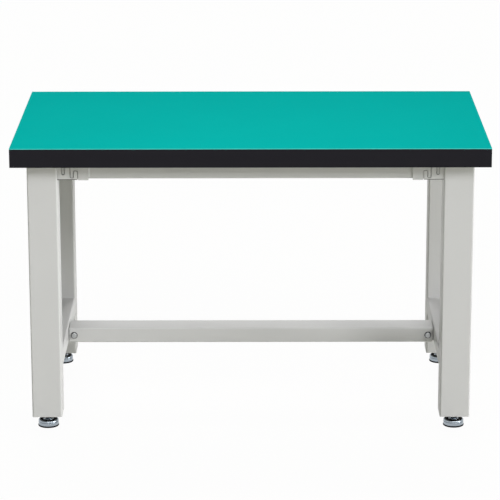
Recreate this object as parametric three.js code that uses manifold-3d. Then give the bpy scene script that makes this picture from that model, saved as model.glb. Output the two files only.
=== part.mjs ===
// Heavy work table: a laminated top on a knock-down frame of folded sheet steel.
// Millimetres, +Z up, the front faces -Y, and the origin lies on the floor under the middle of the top.

import * as THREE from "three";
import { mergeVertices } from "three/addons/utils/BufferGeometryUtils.js";
import Module from "manifold-3d";

const wasm = await Module();
wasm.setup();

// Overall sizes
const tableHeight = 750;
const topLength = 1200;
const topDepth = 700;

// Layers of the top, from the work surface down, and the band round its edges
const matThickness = 2;
const coreThickness = 46;
const backerThickness = 1;
const bandThickness = 2;

// Legs, and the rails that join each front leg to its rear leg
const topOverhang = 39;
const legWidth = 76;
const legWall = 2;
const legBend = 4;
const railHeight = 44;
const railWall = 2;
const railBend = 4;
const lowerRailTop = 194;

// Channel beams under the front and the rear of the top
const beamWall = 2;
const beamBend = 4;
const beamLip = 14;
const beamEndGap = 1;

// Cradle on each leg that a beam end drops into
const cradleHeight = 42;
const cradleWall = 3;
const cradleBend = 4;
const cradleInset = 4;

// Interlock in the cradle's outer wall, from the leg inwards: a post, a hook, a tall finger, a hook and
// a short finger. The hooks hang from the plate on the beam and drop into the pockets between the fingers.
const postWidth = 11.2;
const outerHookWidth = 5;
const tallFingerWidth = 12.8;
const innerHookWidth = 6.8;
const shortFingerWidth = 9;
const hookPlateWidth = 26;
const outerPocketFloor = 13.4;
const innerPocketFloor = 5.2;
const tallFingerHeight = 33.5;
const shortFingerHeight = 23.8;
const hookRound = 2.8;
const hookSlit = 1.5;

// Stretcher between the lower rails, its brackets and bolts
const stretcherDepth = 74;
const stretcherHeight = 40;
const stretcherBottom = 150;
const stretcherWall = 2;
const stretcherBend = 4;
const stretcherLip = 16;
const bracketWall = 3;
const bracketBend = 4;
const bracketLength = 40;
const bracketMargin = 3;
const boltSetback = 12;
const boltRadius = 4;
const boltLength = 14;
const boltHeadFlats = 13;
const boltHeadHeight = 5.5;

// Screws that hold the top to the beams
const screwSpread = 320;
const screwRadius = 2.5;
const screwLength = 35;
const screwHeadRadius = 5.5;
const screwHeadHeight = 3;
const screwTipRoom = 2;

// Levelling foot: rubber pad, plated base, threaded stem, washer and lock nut
const padRadius = 25.5;
const padShow = 3.5;
const padPlugRadius = 23;
const padPlugHeight = 3;
const padChamfer = 1;
const baseRadius = 26;
const baseHeight = 15.5;
const baseRimRound = 3;
const baseGrooveDepth = 1.5;
const baseGrooveWidth = 1.5;
const baseGrooveDrop = 5;
const baseDishDrop = 2.5;
const baseHubRadius = 13;
const baseHubRise = 1;
const swivelRadius = 11;
const swivelHeight = 4;
const socketFloor = 2.5;
const stemRadius = 8;
const stemTravel = 20;
const stemSpare = 10;
const stemChamfer = 1.5;
const nutFlats = 24;
const nutHeight = 8;
const nutClearance = 3.4;
const washerRadius = 19;
const washerThickness = 3;
const footPlateThickness = 6;
const weldNutHeight = 13;

// Clearances: between fixed pieces that slip together, between moving pieces, and past a cut's ends
const fitGap = 0.25;
const runGap = 0.3;
const cutPast = 1;

// Levels and places worked out from the sizes above
const topThickness = matThickness + coreThickness + backerThickness;
const frameTop = tableHeight - topThickness;
const coreBottom = frameTop + backerThickness;
const coreTop = coreBottom + coreThickness;
const legOuterX = topLength / 2 - topOverhang;
const legOuterY = topDepth / 2 - topOverhang;
const legInnerX = legOuterX - legWidth;
const legInnerY = legOuterY - legWidth;
const legMiddleX = legOuterX - legWidth / 2;
const legMiddleY = legOuterY - legWidth / 2;
const hubTop = padShow + baseHeight;
const nutBottom = hubTop + nutClearance;
const nutTop = nutBottom + nutHeight;
const washerBottom = nutTop + runGap;
const washerTop = washerBottom + washerThickness;
const legBottom = washerTop + runGap;

const cradleBottom = frameTop - cradleHeight;
const cradleOuterY = legOuterY - cradleInset;
const cradleInnerY = legInnerY + cradleInset;
const beamOuterY = cradleOuterY - cradleWall - fitGap;
const beamInnerY = cradleInnerY + cradleWall + fitGap;
const beamBottom = cradleBottom + cradleWall + fitGap;
const beamEndX = legInnerX - beamEndGap;

const tallFingerStart = postWidth + outerHookWidth + 2 * hookSlit;
const innerHookStart = tallFingerStart + tallFingerWidth;
const shortFingerStart = innerHookStart + innerHookWidth + 2 * hookSlit;
const cradleLength = shortFingerStart + shortFingerWidth;

const stretcherTop = stretcherBottom + stretcherHeight;
const stretcherEndX = legInnerX - bracketWall - fitGap;
const boltX = stretcherEndX - boltSetback;
const boltZ = stretcherBottom + stretcherHeight / 2;

// Materials
const paintedSteel = new THREE.MeshStandardMaterial({ color: 0xc3c3c0, roughness: 0.55, metalness: 0.1 });
const platedSteel = new THREE.MeshStandardMaterial({ color: 0xc9cccd, roughness: 0.25, metalness: 1 });
const greenMat = new THREE.MeshStandardMaterial({ color: 0x03aea4, roughness: 0.6, metalness: 0 });
const blackBand = new THREE.MeshStandardMaterial({ color: 0x242329, roughness: 0.5, metalness: 0 });
const particleBoard = new THREE.MeshStandardMaterial({ color: 0xb58e62, roughness: 0.9, metalness: 0 });
const backerPaper = new THREE.MeshStandardMaterial({ color: 0xd9d6cf, roughness: 0.7, metalness: 0 });
const blackRubber = new THREE.MeshStandardMaterial({ color: 0x18181a, roughness: 0.85, metalness: 0 });

const AXIS_X = new THREE.Vector3(1, 0, 0);
const AXIS_Y = new THREE.Vector3(0, 1, 0);
const AXIS_Z = new THREE.Vector3(0, 0, 1);

// Facets: half the steps of a bend, half the sides of a drilled hole, the sides of a turned piece and
// the steps round a rim. A corner's arc takes up at most the last share of each edge beside it.
const BEND_STEPS = 2;
const ROUND_STEPS = 8;
const LATHE_STEPS = 24;
const RIM_STEPS = 3;
const MOST_ROUND = 0.49;

// A closed outline of square corners, each given as [x, y, radius], with its corners rounded by arcs.
function roundedShape(corners) {
  const shape = new THREE.Shape();
  corners.forEach(([x, y, radius = 0], index) => {
    const corner = new THREE.Vector2(x, y);
    const [beforeX, beforeY] = corners[(index + corners.length - 1) % corners.length];
    const [afterX, afterY] = corners[(index + 1) % corners.length];
    const before = new THREE.Vector2(beforeX, beforeY).sub(corner);
    const after = new THREE.Vector2(afterX, afterY).sub(corner);
    const reach = Math.min(radius, MOST_ROUND * before.length(), MOST_ROUND * after.length());
    before.normalize();
    after.normalize();
    if (reach <= 0) {
      if (index) shape.lineTo(x, y);
      else shape.moveTo(x, y);
      return;
    }
    const centre = corner.clone().addScaledVector(before, reach).addScaledVector(after, reach);
    const startAngle = Math.atan2(-after.y, -after.x);
    const endAngle = Math.atan2(-before.y, -before.x);
    const clockwise = before.cross(after) > 0;
    const startX = centre.x + reach * Math.cos(startAngle);
    const startY = centre.y + reach * Math.sin(startAngle);
    if (index) shape.lineTo(startX, startY);
    shape.absarc(centre.x, centre.y, reach, startAngle, endAngle, clockwise);
  });
  shape.closePath();
  return shape;
}

function rectangle(x0, y0, x1, y1, radius = 0) {
  return roundedShape([[x0, y0, radius], [x1, y0, radius], [x1, y1, radius], [x0, y1, radius]]);
}

function tubeSection(x0, y0, x1, y1, wall, bend) {
  const shape = rectangle(x0, y0, x1, y1, bend);
  shape.holes.push(rectangle(x0 + wall, y0 + wall, x1 - wall, y1 - wall, bend - wall));
  return shape;
}

// Channel open along its underside, with a lip turned in at the foot of each wall.
function channelSection(x0, y0, x1, y1, wall, bend, lip) {
  const inner = bend - wall;
  return roundedShape([
    [x0 + lip, y0], [x0, y0, bend], [x0, y1, bend], [x1, y1, bend], [x1, y0, bend], [x1 - lip, y0],
    [x1 - lip, y0 + wall], [x1 - wall, y0 + wall, inner], [x1 - wall, y1 - wall, inner],
    [x0 + wall, y1 - wall, inner], [x0 + wall, y0 + wall, inner], [x0 + lip, y0 + wall],
  ]);
}

// Plate folded into a U that is open towards +Y of its outline.
function foldedU(x0, y0, x1, y1, wall, bend) {
  const inner = bend - wall;
  return roundedShape([
    [x0, y1], [x0, y0, bend], [x1, y0, bend], [x1, y1],
    [x1 - wall, y1], [x1 - wall, y0 + wall, inner], [x0 + wall, y0 + wall, inner], [x0 + wall, y1],
  ]);
}

function hexagon(acrossFlats, x = 0, y = 0) {
  const shape = new THREE.Shape();
  const cornerRadius = acrossFlats / 2 / Math.cos(Math.PI / 6);
  for (let index = 0; index < 6; index += 1) {
    const angle = (index * Math.PI) / 3;
    const point = [x + cornerRadius * Math.cos(angle), y + cornerRadius * Math.sin(angle)];
    if (index) shape.lineTo(...point);
    else shape.moveTo(...point);
  }
  shape.closePath();
  return shape;
}

function disc(radius, x = 0, y = 0) {
  const shape = new THREE.Shape();
  shape.absarc(x, y, radius, 0, 2 * Math.PI, false);
  return shape;
}

// Unit extrusion stretched between two levels, so that faces on one level meet exactly.
// The outline lies in (Y, Z) for alongX, in (X, Z) for alongY and in (X, Y) for alongZ.
function extruded(shape, steps, basis) {
  const options = { depth: 1, bevelEnabled: false, curveSegments: steps };
  return new THREE.ExtrudeGeometry(shape, options).applyMatrix4(basis);
}

function alongX(shape, low, high, steps = BEND_STEPS) {
  const length = AXIS_X.clone().multiplyScalar(high - low);
  const basis = new THREE.Matrix4().makeBasis(AXIS_Y, AXIS_Z, length).setPosition(low, 0, 0);
  return extruded(shape, steps, basis);
}

function alongY(shape, low, high, steps = BEND_STEPS) {
  const length = AXIS_Y.clone().multiplyScalar(low - high);
  const basis = new THREE.Matrix4().makeBasis(AXIS_X, AXIS_Z, length).setPosition(0, high, 0);
  return extruded(shape, steps, basis);
}

function alongZ(shape, low, high, steps = BEND_STEPS) {
  const length = AXIS_Z.clone().multiplyScalar(high - low);
  const basis = new THREE.Matrix4().makeBasis(AXIS_X, AXIS_Y, length).setPosition(0, 0, low);
  return extruded(shape, steps, basis);
}

// Turned piece about Z from [radius, height] points, which run upwards along its outside.
function turned(profile) {
  const points = profile.map(([radius, height]) => new THREE.Vector2(radius, height));
  return new THREE.LatheGeometry(points, LATHE_STEPS).rotateX(Math.PI / 2);
}

function solidOf(geometry) {
  const bare = geometry.clone();
  bare.deleteAttribute("normal");
  bare.deleteAttribute("uv");
  const merged = mergeVertices(bare, 1e-4);
  const mesh = new wasm.Mesh({
    numProp: 3,
    vertProperties: new Float32Array(merged.getAttribute("position").array),
    triVerts: new Uint32Array(merged.index.array),
  });
  return new wasm.Manifold(mesh);
}

function geometryOf(solid) {
  const mesh = solid.getMesh();
  const geometry = new THREE.BufferGeometry();
  geometry.setAttribute("position", new THREE.BufferAttribute(new Float32Array(mesh.vertProperties), 3));
  geometry.setIndex(new THREE.BufferAttribute(new Uint32Array(mesh.triVerts), 1));
  const faceted = geometry.toNonIndexed();
  faceted.computeVertexNormals();
  return faceted;
}

function cut(geometry, tools) {
  const start = solidOf(geometry);
  return geometryOf(tools.reduce((solid, tool) => solid.subtract(solidOf(tool)), start));
}

function piece(group, name, geometry, material) {
  const mesh = new THREE.Mesh(geometry, material);
  mesh.name = name;
  group.add(mesh);
}

// The four screws stand at the same places in the core, the backer and the beams.
const screwY = (beamOuterY + beamInnerY) / 2;
const screwSeat = frameTop - beamWall;
const screwTip = screwSeat + screwLength;
const signs = [-1, 1];

function screwHoles(low, high, faces) {
  const hole = (side, face) => disc(screwRadius + runGap, side * screwSpread, face * screwY);
  return signs.flatMap((side) => faces.map((face) => alongZ(hole(side, face), low, high, ROUND_STEPS)));
}

function addTop(table) {
  const halfLength = topLength / 2;
  const halfDepth = topDepth / 2;
  const innerLength = halfLength - bandThickness;
  const innerDepth = halfDepth - bandThickness;
  const board = rectangle(-innerLength, -innerDepth, innerLength, innerDepth);
  const mat = rectangle(-halfLength, -halfDepth, halfLength, halfDepth);
  const coreHoles = screwHoles(coreBottom - cutPast, screwTip + screwTipRoom, signs);
  const backerHoles = screwHoles(frameTop - cutPast, coreBottom + cutPast, signs);
  piece(table, "worktop_mat", alongZ(mat, coreTop, tableHeight), greenMat);
  piece(table, "worktop_core", cut(alongZ(board, coreBottom, coreTop), coreHoles), particleBoard);
  piece(table, "worktop_backer", cut(alongZ(board, frameTop, coreBottom), backerHoles), backerPaper);
  const bands = {
    front: rectangle(-halfLength, -halfDepth, halfLength, -innerDepth),
    rear: rectangle(-halfLength, innerDepth, halfLength, halfDepth),
    left: rectangle(-halfLength, -innerDepth, -innerLength, innerDepth),
    right: rectangle(innerLength, -innerDepth, halfLength, innerDepth),
  };
  for (const [name, band] of Object.entries(bands)) {
    piece(table, `edge_band_${name}`, alongZ(band, frameTop, coreTop), blackBand);
  }
}

function addSideRails(sideGroup, side) {
  const levels = { upper: frameTop, lower: lowerRailTop };
  for (const [name, top] of Object.entries(levels)) {
    const section = tubeSection(legInnerX, top - railHeight, legOuterX, top, railWall, railBend);
    piece(sideGroup, `${name}_side_rail_${side}`, alongY(section, -legInnerY, legInnerY), paintedSteel);
  }
}

function addBeam(table, face, sign) {
  const [low, high] = sign > 0 ? [beamInnerY, beamOuterY] : [-beamOuterY, -beamInnerY];
  const section = channelSection(low, beamBottom, high, frameTop, beamWall, beamBend, beamLip);
  const holes = screwHoles(screwSeat - cutPast, frameTop + cutPast, [sign]);
  piece(table, `${face}_beam`, cut(alongX(section, -beamEndX, beamEndX), holes), paintedSteel);
}

// Edge line of the interlock, from the post down into the outer pocket and up over each finger.
// The pocket in the cradle follows it with no shrink, and the hooks follow it one slit inside.
function interlockCorners(shrink) {
  const atX = (inset) => legInnerX - inset;
  const atZ = (rise) => cradleBottom + rise;
  const tip = hookRound + hookSlit - shrink;
  const crown = hookRound + shrink;
  return [
    [atX(postWidth + shrink), atZ(outerPocketFloor + shrink), tip],
    [atX(tallFingerStart - shrink), atZ(outerPocketFloor + shrink), tip],
    [atX(tallFingerStart - shrink), atZ(tallFingerHeight + shrink), crown],
    [atX(innerHookStart + shrink), atZ(tallFingerHeight + shrink), crown],
    [atX(innerHookStart + shrink), atZ(innerPocketFloor + shrink), tip],
    [atX(shortFingerStart - shrink), atZ(innerPocketFloor + shrink), tip],
    [atX(shortFingerStart - shrink), atZ(shortFingerHeight + shrink), crown],
    [atX(cradleLength + shrink), atZ(shortFingerHeight + shrink), crown],
  ];
}

function cradle() {
  const section = foldedU(cradleInnerY, cradleBottom, cradleOuterY, frameTop, cradleWall, cradleBend);
  const blank = alongX(section, legInnerX - cradleLength, legInnerX);
  const line = interlockCorners(0);
  const postEdge = line[0][0];
  const endX = line[line.length - 1][0];
  const low = cradleBottom - cutPast;
  const high = frameTop + cutPast;
  const pocket = roundedShape([
    [postEdge, high], ...line, [endX, low], [endX - cutPast, low], [endX - cutPast, high],
  ]);
  const wallInside = cradleOuterY - cradleWall - cutPast;
  return cut(blank, [alongY(pocket, wallInside, cradleOuterY + cutPast)]);
}

function hookPlate() {
  const line = interlockCorners(hookSlit);
  const hookEdge = line[0][0];
  const plateStart = line[line.length - 1][0];
  const plateEnd = plateStart - hookPlateWidth;
  const outline = roundedShape([
    [hookEdge, frameTop], ...line, [plateStart, cradleBottom], [plateEnd, cradleBottom], [plateEnd, frameTop],
  ]);
  return alongY(outline, beamOuterY, cradleOuterY);
}

function addStretcher(table) {
  const half = stretcherDepth / 2;
  const section = channelSection(
    -half, stretcherBottom, half, stretcherTop, stretcherWall, stretcherBend, stretcherLip,
  );
  const holes = signs.map((side) => {
    const hole = disc(boltRadius + fitGap, side * boltX, boltZ);
    return alongY(hole, -half - cutPast, half + cutPast, ROUND_STEPS);
  });
  piece(table, "stretcher", cut(alongX(section, -stretcherEndX, stretcherEndX), holes), paintedSteel);
}

// U-shaped bracket on the lower rail, whose two tongues stand inside the stretcher.
function stretcherBracket() {
  const half = stretcherDepth / 2 - stretcherWall - fitGap;
  const inner = bracketBend - bracketWall;
  const tongueX = legInnerX - bracketLength;
  const plateX = legInnerX - bracketWall;
  const tongueY = half - bracketWall;
  const plan = roundedShape([
    [tongueX, half], [legInnerX, half, bracketBend], [legInnerX, -half, bracketBend], [tongueX, -half],
    [tongueX, -tongueY], [plateX, -tongueY, inner], [plateX, tongueY, inner], [tongueX, tongueY],
  ]);
  const low = stretcherBottom + stretcherWall + bracketMargin;
  const high = stretcherTop - stretcherWall - bracketMargin;
  const hole = alongY(disc(boltRadius + fitGap, boltX, boltZ), -half - cutPast, half + cutPast, ROUND_STEPS);
  return cut(alongZ(plan, low, high), [hole]);
}

// Hexagon bolt along Y, with its head on the stretcher's outer face.
function stretcherBolt() {
  const faceY = stretcherDepth / 2;
  const head = alongY(hexagon(boltHeadFlats, boltX, boltZ), faceY, faceY + boltHeadHeight);
  const shank = alongY(disc(boltRadius, boltX, boltZ), faceY - boltLength, faceY + cutPast, ROUND_STEPS);
  return geometryOf(solidOf(head).add(solidOf(shank)));
}

function topScrew() {
  return turned([
    [0, screwSeat - screwHeadHeight], [screwHeadRadius, screwSeat - screwHeadHeight],
    [screwHeadRadius, screwSeat], [screwRadius, screwSeat],
    [screwRadius, screwTip - screwRadius], [0, screwTip],
  ]);
}

// Plate inside the foot of the leg, with the nut for the stem welded on it.
function footPlate() {
  const half = legWidth / 2 - legWall - fitGap;
  const plateTop = legBottom + footPlateThickness;
  const plate = alongZ(rectangle(-half, -half, half, half, legBend - legWall), legBottom, plateTop);
  const nut = alongZ(hexagon(nutFlats), plateTop - cutPast, plateTop + weldNutHeight);
  const boreTop = plateTop + weldNutHeight + cutPast;
  const bore = alongZ(disc(stemRadius + runGap), legBottom - cutPast, boreTop, ROUND_STEPS);
  return geometryOf(solidOf(plate).add(solidOf(nut)).subtract(solidOf(bore)));
}

function footPad() {
  return turned([
    [0, 0], [padRadius - padChamfer, 0], [padRadius, padChamfer], [padRadius, padShow],
    [padPlugRadius, padShow], [padPlugRadius, padShow + padPlugHeight], [0, padShow + padPlugHeight],
  ]);
}

// Plated base with a groove round its side, a dished top and a socket for the stem's swivel end.
function footBase() {
  const plugTop = padShow + padPlugHeight;
  const plugHole = padPlugRadius + runGap;
  const rimTop = hubTop - baseHubRise;
  const grooveMiddle = rimTop - baseGrooveDrop;
  const grooveFloor = baseRadius - baseGrooveDepth;
  const socketBottom = plugTop + socketFloor;
  const socketTop = socketBottom + swivelHeight + 2 * runGap;
  const rimCorner = baseRadius - baseRimRound;
  const rim = Array.from({ length: RIM_STEPS }, (_, step) => {
    const angle = ((step + 1) * Math.PI) / 2 / RIM_STEPS;
    const lift = baseRimRound * (Math.sin(angle) - 1);
    return [rimCorner + baseRimRound * Math.cos(angle), rimTop + lift];
  });
  return turned([
    [0, plugTop], [plugHole, plugTop], [plugHole, padShow], [baseRadius, padShow],
    [baseRadius, grooveMiddle - baseGrooveWidth], [grooveFloor, grooveMiddle - baseGrooveWidth / 2],
    [grooveFloor, grooveMiddle + baseGrooveWidth / 2], [baseRadius, grooveMiddle + baseGrooveWidth],
    [baseRadius, rimTop - baseRimRound], ...rim,
    [baseHubRadius + baseDishDrop, rimTop - baseDishDrop], [baseHubRadius, rimTop - baseDishDrop],
    [baseHubRadius, hubTop], [stemRadius + runGap, hubTop], [stemRadius + runGap, socketTop],
    [swivelRadius + runGap, socketTop], [swivelRadius + runGap, socketBottom], [0, socketBottom],
  ]);
}

function footStem() {
  const swivelBottom = padShow + padPlugHeight + socketFloor + runGap;
  const swivelTop = swivelBottom + swivelHeight;
  const stemTop = legBottom + footPlateThickness + weldNutHeight + stemTravel + stemSpare;
  return turned([
    [0, swivelBottom], [swivelRadius, swivelBottom], [swivelRadius, swivelTop], [stemRadius, swivelTop],
    [stemRadius, stemTop - stemChamfer], [stemRadius - stemChamfer, stemTop], [0, stemTop],
  ]);
}

function footWasher() {
  const bore = stemRadius + runGap;
  return turned([
    [bore, washerBottom], [washerRadius, washerBottom], [washerRadius, washerTop], [bore, washerTop],
    [bore, washerBottom],
  ]);
}

// Thin hexagon nut, whose corners are turned off at both ends.
function lockNut() {
  const outline = hexagon(nutFlats);
  outline.holes.push(disc(stemRadius + runGap));
  const flatRadius = nutFlats / 2;
  const cornerRadius = flatRadius / Math.cos(Math.PI / 6);
  const chamfer = (cornerRadius - flatRadius) / 2;
  const turnedOff = turned([
    [0, nutBottom], [flatRadius, nutBottom], [cornerRadius + chamfer, nutBottom + 2 * chamfer],
    [cornerRadius + chamfer, nutTop - 2 * chamfer], [flatRadius, nutTop], [0, nutTop],
  ]);
  const blank = solidOf(alongZ(outline, nutBottom - cutPast, nutTop + cutPast, ROUND_STEPS));
  return geometryOf(blank.intersect(solidOf(turnedOff)));
}

function addFoot(cornerGroup, corner) {
  const foot = new THREE.Group();
  foot.position.set(legMiddleX, legMiddleY, 0);
  cornerGroup.add(foot);
  piece(foot, `foot_plate_${corner}`, footPlate(), paintedSteel);
  piece(foot, `foot_pad_${corner}`, footPad(), blackRubber);
  piece(foot, `foot_base_${corner}`, footBase(), platedSteel);
  piece(foot, `foot_stem_${corner}`, footStem(), platedSteel);
  piece(foot, `foot_washer_${corner}`, footWasher(), platedSteel);
  piece(foot, `foot_lock_nut_${corner}`, lockNut(), platedSteel);
}

// One corner is modelled at +X and +Y, and its group mirrors it to the other three.
function addCorner(table, corner, side, face) {
  const group = new THREE.Group();
  group.scale.set(side, face, 1);
  table.add(group);
  const legSection = tubeSection(legInnerX, legInnerY, legOuterX, legOuterY, legWall, legBend);
  const screw = new THREE.Group();
  screw.position.set(screwSpread, screwY, 0);
  group.add(screw);
  piece(group, `leg_${corner}`, alongZ(legSection, legBottom, frameTop), paintedSteel);
  piece(group, `beam_cradle_${corner}`, cradle(), paintedSteel);
  piece(group, `beam_hook_${corner}`, hookPlate(), paintedSteel);
  piece(group, `stretcher_bolt_${corner}`, stretcherBolt(), platedSteel);
  piece(screw, `top_screw_${corner}`, topScrew(), platedSteel);
  addFoot(group, corner);
}

const table = new THREE.Group();
const sides = { left: -1, right: 1 };
const faces = { front: -1, rear: 1 };
addTop(table);
addStretcher(table);
for (const [face, faceSign] of Object.entries(faces)) {
  addBeam(table, face, faceSign);
  for (const [side, sideSign] of Object.entries(sides)) {
    addCorner(table, `${face}_${side}`, sideSign, faceSign);
  }
}
for (const [side, sideSign] of Object.entries(sides)) {
  const sideGroup = new THREE.Group();
  sideGroup.scale.set(sideSign, 1, 1);
  table.add(sideGroup);
  addSideRails(sideGroup, side);
  piece(sideGroup, `stretcher_bracket_${side}`, stretcherBracket(), paintedSteel);
}

export default table;
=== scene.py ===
"""Looks of a heavy work table: a green mat top with a black edge on a folded steel frame with levelling feet."""

import logging
import math
from dataclasses import dataclass
from enum import Enum
from typing import Callable, Iterable, Sequence

import bpy
from mathutils import Euler, Matrix, Vector


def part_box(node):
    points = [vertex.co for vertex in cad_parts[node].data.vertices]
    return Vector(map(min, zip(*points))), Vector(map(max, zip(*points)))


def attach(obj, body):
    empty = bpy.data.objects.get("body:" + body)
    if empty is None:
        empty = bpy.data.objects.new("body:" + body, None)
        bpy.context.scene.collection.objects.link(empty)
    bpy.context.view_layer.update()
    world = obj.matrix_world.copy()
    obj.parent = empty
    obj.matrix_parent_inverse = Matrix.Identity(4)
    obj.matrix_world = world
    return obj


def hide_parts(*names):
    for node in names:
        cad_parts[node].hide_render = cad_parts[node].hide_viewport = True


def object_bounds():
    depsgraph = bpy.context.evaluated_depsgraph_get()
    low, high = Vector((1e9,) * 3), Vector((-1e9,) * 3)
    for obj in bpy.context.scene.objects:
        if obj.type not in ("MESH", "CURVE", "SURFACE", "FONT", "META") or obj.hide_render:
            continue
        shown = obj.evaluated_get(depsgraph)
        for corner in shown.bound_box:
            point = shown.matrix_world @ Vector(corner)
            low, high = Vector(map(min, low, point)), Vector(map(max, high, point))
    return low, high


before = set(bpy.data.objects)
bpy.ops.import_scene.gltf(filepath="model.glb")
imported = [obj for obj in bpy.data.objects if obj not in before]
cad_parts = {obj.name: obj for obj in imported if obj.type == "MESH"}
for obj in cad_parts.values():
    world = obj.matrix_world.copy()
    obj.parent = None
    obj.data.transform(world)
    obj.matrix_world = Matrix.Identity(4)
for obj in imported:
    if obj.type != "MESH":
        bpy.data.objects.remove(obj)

LOG = logging.getLogger("work_table")
CAD_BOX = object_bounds()
MM = 0.001
FRAME_BODY = "frame"
SMOOTH_BELOW = math.radians(35.0)
ROUND_STEPS = 64
BEAD_RIPPLE = 2.4
# Share of a direction along an axis above which it counts as lying along that axis.
ALONG = 0.9
# Distance in metres below which two places count as one when edges are picked, and when points are merged.
NEAR = 0.01 * MM
MERGE = 1e-6
# Faces across a fold and across a rounded long edge, and the rounding of a sheared sheet's edge in metres.
FOLD_STEPS = 6
EDGE_STEPS = 4
SHEET_EDGE = 0.35 * MM
# Rounding of the edges of small welded plates in metres.
SMALL_PLATE_EDGE = 0.3 * MM
# Shares of the pitch at which a thread's root ends, its crest starts and its crest ends.
THREAD_SHARES = (0.25, 0.56, 0.69)
THREAD_STEPS = 32
# Sockets of a colour mix node: its two colours, and the mixed one.
MIX_FIRST, MIX_SECOND, MIX_RESULT = 6, 7, 2
# Width of the picture in pixels, for which the camera's focal length holds.
PICTURE_WIDTH = 500.0

Piece = bpy.types.Object
Tree = bpy.types.NodeTree
Socket = bpy.types.NodeSocket
Point = tuple[float, float]
Test = Callable[[Vector, Vector], bool]


class Corner(Enum):
    """The four corners of the table, with their signs along X and Y."""

    FRONT_LEFT = ("front_left", -1, -1)
    FRONT_RIGHT = ("front_right", 1, -1)
    REAR_LEFT = ("rear_left", -1, 1)
    REAR_RIGHT = ("rear_right", 1, 1)

    @property
    def label(self) -> str:
        """Name of the corner at the end of its pieces' names."""
        return self.value[0]

    @property
    def side(self) -> int:
        """Sign of the corner along X."""
        return self.value[1]

    @property
    def face(self) -> int:
        """Sign of the corner along Y."""
        return self.value[2]


class Axis(Enum):
    """Axes by their index in a vector."""

    X = 0
    Y = 1
    Z = 2


class Part(Enum):
    """What a test in edit mode picks out."""

    FACE = "FACE"
    EDGE = "EDGE"


def linear(code: str) -> tuple[float, float, float, float]:
    """Turn an sRGB hex colour into linear light.

    Args:
        code: Six hex digits after a hash sign.

    Returns:
        Red, green, blue and an alpha of one.
    """
    shares = [int(code[start:start + 2], 16) / 255 for start in (1, 3, 5)]
    red, green, blue = (s / 12.92 if s <= 0.04045 else ((s + 0.055) / 1.055) ** 2.4 for s in shares)
    return red, green, blue, 1.0


def per_mm(size: float) -> float:
    """Texture scale at which one feature is about this many millimetres wide."""
    return 1.0 / (size * MM)


def add_node(tree: Tree, kind: str, inputs: dict | None = None, **settings: object) -> bpy.types.Node:
    """Add a shader node with its settings and links.

    Args:
        tree: Node tree that gets the node.
        kind: Node type.
        inputs: Values or sockets for the node's inputs, by name or index.
        **settings: Properties of the node.

    Returns:
        The new node.
    """
    node = tree.nodes.new(kind)
    for name, value in settings.items():
        setattr(node, name, value)
    for key, value in (inputs or {}).items():
        if isinstance(value, Socket):
            tree.links.new(value, node.inputs[key])
        else:
            node.inputs[key].default_value = value
    return node


@dataclass(frozen=True)
class Finish:
    """A surface finish, which makes one node material.

    Attributes:
        name: Name of the real material.
        slot: Material slot of the record; not used in this script.
        colour: Main colour.
        second: Colour that the main one drifts towards.
        roughness: Middle roughness.
        metallic: One for bare metal.
        coarse: Width in millimetres of the drift of colour and gloss.
        fine: Width in millimetres of the surface grain.
        relief: Height in millimetres of the surface grain.
        specular: Specular level of a surface that is no metal.
        gloss_drift: Most that the roughness strays from its middle.
        bump_share: Share of the grain's height that the shading shows.
    """

    name: str
    slot: str
    colour: str
    second: str
    roughness: float
    metallic: float = 0.0
    coarse: float = 90.0
    fine: float = 4.0
    relief: float = 0.02
    specular: float = 0.5
    gloss_drift: float = 0.05
    bump_share: float = 0.5

    def material(self) -> bpy.types.Material:
        """Return this finish's material, which is made at its first use."""
        made = bpy.data.materials.get(self.name)
        if made is not None:
            return made
        made = bpy.data.materials.new(self.name)
        made.use_nodes = True
        tree = made.node_tree
        tree.nodes.clear()
        shader = self.shader(tree)
        add_node(tree, "ShaderNodeOutputMaterial", {"Surface": shader.outputs["BSDF"]})
        return made

    def grain(self, tree: Tree, place: Socket) -> Socket:
        """Return the height of the fine grain, from 0 to 1."""
        noise = add_node(tree, "ShaderNodeTexNoise", {"Vector": place, "Scale": per_mm(self.fine), "Detail": 3.0})
        return noise.outputs["Fac"]

    def shader(self, tree: Tree) -> bpy.types.Node:
        """Build the shader: drifting colour and gloss, and a fine relief.

        Args:
            tree: The material's node tree.

        Returns:
            The shader node.
        """
        place = add_node(tree, "ShaderNodeTexCoord").outputs["Object"]
        drift = add_node(tree, "ShaderNodeTexNoise", {"Vector": place, "Scale": per_mm(self.coarse), "Detail": 4.0})
        grain = self.grain(tree, place)
        tone = add_node(
            tree,
            "ShaderNodeMix",
            {"Factor": drift.outputs["Fac"], MIX_FIRST: linear(self.colour), MIX_SECOND: linear(self.second)},
            data_type="RGBA",
        )
        gloss = add_node(
            tree,
            "ShaderNodeMapRange",
            {
                "Value": grain,
                "From Min": 0.3,
                "From Max": 0.7,
                "To Min": self.roughness - self.gloss_drift,
                "To Max": self.roughness + self.gloss_drift,
            },
        )
        bump = add_node(
            tree, "ShaderNodeBump", {"Height": grain, "Strength": self.bump_share, "Distance": self.relief * MM}
        )
        return add_node(
            tree,
            "ShaderNodeBsdfPrincipled",
            {
                "Base Color": tone.outputs[MIX_RESULT],
                "Roughness": gloss.outputs["Result"],
                "Normal": bump.outputs["Normal"],
                "Metallic": self.metallic,
                "Specular IOR Level": self.specular,
            },
        )


@dataclass(frozen=True)
class PressedMat(Finish):
    """Calendered vinyl mat, pressed with a fine leather-like grain."""

    def grain(self, tree: Tree, place: Socket) -> Socket:
        """Return the height of the pressed cells, from 0 to 1."""
        cells = add_node(
            tree,
            "ShaderNodeTexVoronoi",
            {"Vector": place, "Scale": per_mm(self.fine), "Randomness": 0.9},
            feature="SMOOTH_F1",
        )
        return cells.outputs["Distance"]


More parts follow.
